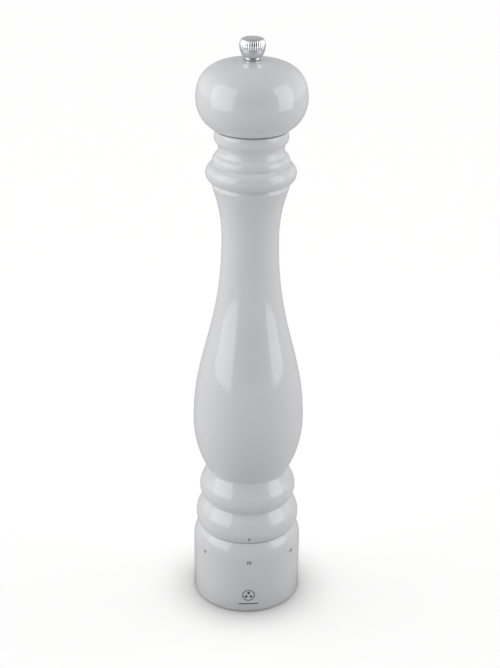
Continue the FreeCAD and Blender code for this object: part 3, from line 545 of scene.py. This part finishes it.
BODY_OF = {node: body for body, members in frame["record"]["behaviour"]["bodies"].items() for node in members}
SLOT_OF = {subpart["node"]: subpart["material_slot"] for subpart in frame["record"]["subparts"]}
# the neck under the knob is light metal to look at
SLOT_OF["knob_collar"] = "stainless"
# moulded and machined pieces, with the width of their eased edges in millimetres
EASED = {
    "mechanism_housing": 0.25, "adjusting_nut": 0.25, "burr_carriage": 0.3, "upper_bridge": 0.25,
    "drive_plate": 0.2, "neck_bush": 0.25, "bridge_bush": 0.15, "carriage_bush": 0.15, "head_bush": 0.15,
    "thrust_washer": 0.12, "spring_washer": 0.12, "ring_clip": 0.1, "burr_clip": 0.1, "shaft_clips": 0.1,
    "knob_collar": 0.12, "knob_insert": 0.12,
}


def eased_copy(node, width):
    """A copy of a machined piece with its sharp edges broken."""
    built = bmesh.new()
    built.from_mesh(NODES[node].data)
    built.transform(NODES[node].matrix_world)
    bmesh.ops.remove_doubles(built, verts=built.verts, dist=0.000002)
    bmesh.ops.dissolve_limit(built, angle_limit=math.radians(0.4), verts=built.verts, edges=built.edges)
    sharp = [edge for edge in built.edges
             if len(edge.link_faces) == 2 and edge.calc_face_angle(0.0) > math.radians(40)]
    bmesh.ops.bevel(built, geom=sharp, offset=width * MM, offset_type="OFFSET", segments=2, profile=0.5,
                    affect="EDGES", clamp_overlap=True)
    return finish_mesh("eased_" + node, built)


for node, width in EASED.items():
    make_piece("eased_" + node, eased_copy(node, width), BODY_OF[node], SLOT_OF[node], [node])

# ------------------------------------------------------------------ CAD nodes that keep their shape
for subpart in frame["record"]["subparts"]:
    node = NODES[subpart["node"]]
    node.data.materials.clear()
    node.data.materials.append(MATERIALS[subpart["material_slot"]])


# ------------------------------------------------------------------ floor, light and camera
def only_for_camera(tree, strength, target):
    """A strength that the camera sees but that lights nothing, as a retouched backdrop would be."""
    path = tree.nodes.new("ShaderNodeLightPath")
    scale = tree.nodes.new("ShaderNodeMath")
    scale.operation = "MULTIPLY"
    scale.inputs[1].default_value = strength
    tree.links.new(path.outputs["Is Camera Ray"], scale.inputs[0])
    tree.links.new(scale.outputs["Value"], target)


def multiplied(tree, first, second):
    """The product of two colours."""
    node = tree.nodes.new("ShaderNodeMix")
    node.data_type = "RGBA"
    node.blend_type = "MULTIPLY"
    node.inputs["Factor"].default_value = 1.0
    tree.links.new(first, node.inputs["A"])
    tree.links.new(second, node.inputs["B"])
    return node.outputs["Result"]


# metres from here on, as in the frame
FLOOR_OPENING, FLOOR_REACH, FLOOR_SIDES = 0.034, 6.0, 96


def floor_mesh():
    """A level ring of faces around the opening."""
    turns = [2 * math.pi * index / FLOOR_SIDES for index in range(FLOOR_SIDES)]
    corners = [(reach * math.cos(turn), reach * math.sin(turn), 0)
               for reach in (FLOOR_OPENING, FLOOR_REACH) for turn in turns]
    faces = []
    for index in range(FLOOR_SIDES):
        beside = (index + 1) % FLOOR_SIDES
        faces.append((index, index + FLOOR_SIDES, beside + FLOOR_SIDES, beside))
    mesh = bpy.data.meshes.new("floor")
    mesh.from_pydata(corners, [], faces)
    return mesh


def stage_floor():
    """A round floor with a painted contact shadow, open under the foot so that light reaches the mechanism
    from below.
    """
    mesh = floor_mesh()
    floor = bpy.data.objects.new("floor", mesh)
    bpy.context.scene.collection.objects.link(floor)
    material, tree, shader = new_material("studio_floor")
    path = tree.nodes.new("ShaderNodeLightPath")
    tone = ramp(tree, path.outputs["Is Camera Ray"], [(0.0, (0.93, 0.93, 0.93)), (1.0, (1.57, 1.55, 1.51))])
    # painted shadow: ambient occlusion darkens the floor's colour where the mill stands close, as a contact
    # shadow
    painted_contact_shadow = tree.nodes.new("ShaderNodeAmbientOcclusion")
    painted_contact_shadow.inputs["Distance"].default_value = 0.062
    painted_contact_shadow.samples = 8
    painted_shadow_level = ramp(tree, painted_contact_shadow.outputs["AO"], [(0.45, (0.31,) * 3), (0.72, (0.69,) * 3), (0.81, (0.94,) * 3),
                                              (0.92, (1.0,) * 3), (1.0, (1.0,) * 3)])
    tree.links.new(multiplied(tree, tone, painted_shadow_level), shader.inputs["Base Color"])
    shader.inputs["Roughness"].default_value = 0.7
    shader.inputs["Specular IOR Level"].default_value = 0.1
    shader.inputs["Emission Color"].default_value = (1, 1, 1, 1)
    only_for_camera(tree, 0.205, shader.inputs["Emission Strength"])
    # the floor is a sheet that shows from above only, so the foot of the mill can be seen from below
    face = tree.nodes.new("ShaderNodeNewGeometry")
    clear = tree.nodes.new("ShaderNodeBsdfTransparent")
    sheet = tree.nodes.new("ShaderNodeMixShader")
    tree.links.new(face.outputs["Backfacing"], sheet.inputs["Fac"])
    tree.links.new(shader.outputs["BSDF"], sheet.inputs[1])
    tree.links.new(clear.outputs["BSDF"], sheet.inputs[2])
    tree.links.new(sheet.outputs["Shader"], tree.nodes["Material Output"].inputs["Surface"])
    mesh.materials.append(material)
    return floor


def aim(item, target):
    """Turns a light to face a point."""
    item.rotation_euler = (Vector(target) - item.location).to_track_quat("-Z", "Y").to_euler()


def softbox(name, place, target, wide, tall, power, unlit):
    """A rectangular softbox that leaves the floor to the room's light."""
    light = bpy.data.lights.new(name, "AREA")
    light.shape = "RECTANGLE"
    light.size, light.size_y = wide, tall
    light.energy = power
    item = bpy.data.objects.new(name, light)
    item.light_linking.receiver_collection = unlit
    item.location = place
    bpy.context.scene.collection.objects.link(item)
    aim(item, target)


def world_ramp(tree, value, stops):
    """Levels over a direction that runs from -1 to 1: a grey, or a colour."""
    centred = tree.nodes.new("ShaderNodeMapRange")
    centred.inputs["From Min"].default_value = -1.0
    tree.links.new(value, centred.inputs["Value"])
    return ramp(tree, centred.outputs["Result"],
                [((at + 1) / 2, level if isinstance(level, tuple) else (level,) * 3) for at, level in stops])


def studio_world():
    """A pale room: the left wall is brightest, then the right, and the camera's end is dim."""
    world = bpy.data.worlds.new("studio")
    bpy.context.scene.world = world
    world.use_nodes = True
    tree = world.node_tree
    background = tree.nodes["Background"]
    place = tree.nodes.new("ShaderNodeTexCoord")
    split = tree.nodes.new("ShaderNodeSeparateXYZ")
    tree.links.new(place.outputs["Generated"], split.inputs["Vector"])
    sideways = world_ramp(tree, split.outputs["X"], [(-1.0, 1.15), (-0.4, 0.60), (0.3, 0.50), (1.0, 1.12)])
    depth = world_ramp(tree, split.outputs["Y"],
                       [(-1.0, 0.07), (-0.8, 0.30), (-0.6, 0.56), (0.1, 1.01), (1.0, 1.02)])
    tint = world_ramp(tree, split.outputs["Z"], [(-1.0, 1.0), (0.1, 1.0), (1.0, (0.835, 0.84, 0.875))])
    room = multiplied(tree, multiplied(tree, sideways, depth), tint)
    tree.links.new(room, background.inputs["Color"])
    backdrop = tree.nodes.new("ShaderNodeBackground")
    backdrop.inputs["Color"].default_value = (1, 1, 1, 1)
    backdrop.inputs["Strength"].default_value = 1.05
    blend = tree.nodes.new("ShaderNodeMixShader")
    path = tree.nodes.new("ShaderNodeLightPath")
    tree.links.new(path.outputs["Is Camera Ray"], blend.inputs["Fac"])
    tree.links.new(background.outputs["Background"], blend.inputs[1])
    tree.links.new(backdrop.outputs["Background"], blend.inputs[2])
    tree.links.new(blend.outputs["Shader"], tree.nodes["World Output"].inputs["Surface"])


CAMERA_PLACE = (0.00058, -0.7971, 0.5663)
CAMERA_PITCH, CAMERA_ROLL, CAMERA_SWING = math.radians(24.64), math.radians(0.70), math.radians(-2.75)


def set_camera():
    """The main viewpoint: a little under a metre away, looking down. The swing is about the mill's axis."""
    pitch, roll = CAMERA_PITCH, CAMERA_ROLL
    forward = Vector((0, math.cos(pitch), -math.sin(pitch)))
    right = Vector((1, 0, 0))
    up = right.cross(forward)
    right_rolled = right * math.cos(roll) + up * math.sin(roll)
    up_rolled = up * math.cos(roll) - right * math.sin(roll)
    camera = bpy.data.cameras.new("camera")
    camera.lens = 70.06
    camera.clip_start = 0.01
    item = bpy.data.objects.new("camera", camera)
    swing = Matrix.Rotation(CAMERA_SWING, 4, "Z")
    item.matrix_world = swing @ Matrix.Translation(CAMERA_PLACE) @ Matrix((
        (right_rolled.x, up_rolled.x, -forward.x, 0), (right_rolled.y, up_rolled.y, -forward.y, 0),
        (right_rolled.z, up_rolled.z, -forward.z, 0), (0, 0, 0, 1)))
    bpy.context.scene.collection.objects.link(item)
    bpy.context.scene.camera = item


SOFTBOX_TARGET = (0, 0, 0.30)
kept_dark = bpy.data.collections.new("not_lit_by_the_softboxes")
kept_dark.objects.link(stage_floor())
kept_dark.collection_objects[0].light_linking.link_state = "EXCLUDE"
studio_world()
softbox("left_softbox", (-0.78, -0.35, 0.55), SOFTBOX_TARGET, 0.90, 1.0, 3.9, kept_dark)
softbox("right_softbox", (0.80, -0.29, 0.55), SOFTBOX_TARGET, 0.60, 1.0, 2.8, kept_dark)
set_camera()
bpy.context.scene.view_settings.view_transform = "Standard"
